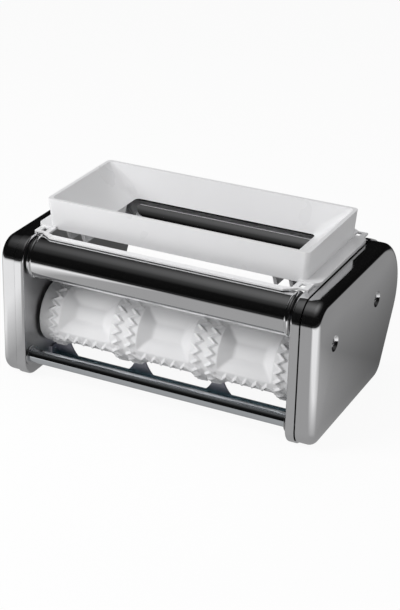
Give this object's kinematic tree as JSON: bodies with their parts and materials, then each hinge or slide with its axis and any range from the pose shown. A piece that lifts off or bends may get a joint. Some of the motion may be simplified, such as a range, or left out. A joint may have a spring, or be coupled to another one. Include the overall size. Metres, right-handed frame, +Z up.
{
  "type": "ravioli maker",
  "caption": "Hand-cranked ravioli former: geared rollers with toothed pockets between chrome end plates, stripping combs and a lift-off dough hopper.",
  "frame": {"origin": "under the middle of the overall outline, on the surface that the two ends stand on", "axes": "+X along the rollers from the crank end (left) to the plain end (right), +Y from the front cover to the rear cover, +Z up"},
  "size_m": [0.206, 0.136, 0.1104],
  "materials": {
    "side_plate": "polished pressed sheet",
    "outer_cover": "polished deep-drawn sheet",
    "dough_cover": "polished bent sheet",
    "tie_rod": "polished bar",
    "fastener": "bright zinc",
    "comb": "blue passivated sheet",
    "bush": "turned",
    "crank_bush": "moulded nylon",
    "roller": "smooth moulded",
    "shaft": "ground",
    "gear": "cut and oiled",
    "hopper": "smooth moulded"
  },
  "bodies": {
    "housing": {"left_side_plate": "side_plate", "right_side_plate": "side_plate", "left_outer_cover": "outer_cover", "right_outer_cover": "outer_cover", "front_cover": "dough_cover", "rear_cover": "dough_cover", "front_lower_tie_rod": "tie_rod", "rear_lower_tie_rod": "tie_rod", "front_upper_tie_rod": "tie_rod", "rear_upper_tie_rod": "tie_rod", "rod_washers": "tie_rod", "left_rod_nuts": "fastener", "right_rod_nuts": "fastener", "left_cover_posts": "fastener", "right_cover_posts": "fastener", "left_cover_screws": "fastener", "right_cover_screws": "fastener", "front_comb": "comb", "rear_comb": "comb", "left_comb_screws": "fastener", "right_comb_screws": "fastener", "front_left_bush": "bush", "front_right_bush": "bush", "rear_left_bush": "bush", "rear_right_bush": "bush", "crank_bush": "crank_bush"},
    "front_roller_set": {"front_roller": "roller", "front_shaft": "shaft", "front_gear": "gear", "front_gear_key": "fastener", "front_shaft_clip": "fastener"},
    "rear_roller_set": {"rear_roller": "roller", "rear_shaft": "shaft", "rear_gear": "gear", "rear_gear_key": "fastener", "rear_shaft_clip": "fastener"},
    "hopper": {"hopper": "hopper"}
  },
  "joints": [
    {"name": "front_roller_spin", "type": "hinge", "parent": "housing", "child": "front_roller_set", "pos_m": [0, -0.0335, 0.0345], "axis": [1, 0, 0], "continuous": true},
    {"name": "rear_roller_spin", "type": "hinge", "parent": "housing", "child": "rear_roller_set", "pos_m": [0, 0.00892, 0.0345], "axis": [1, 0, 0], "continuous": true},
    {"name": "hopper_lift", "type": "slide", "parent": "housing", "child": "hopper", "axis": [0, 0, 1], "range_m": [0, 0.03]}
  ],
  "couplings": [
    {"joint": "front_roller_spin", "follows": "rear_roller_spin", "ratio": -1}
  ]
}
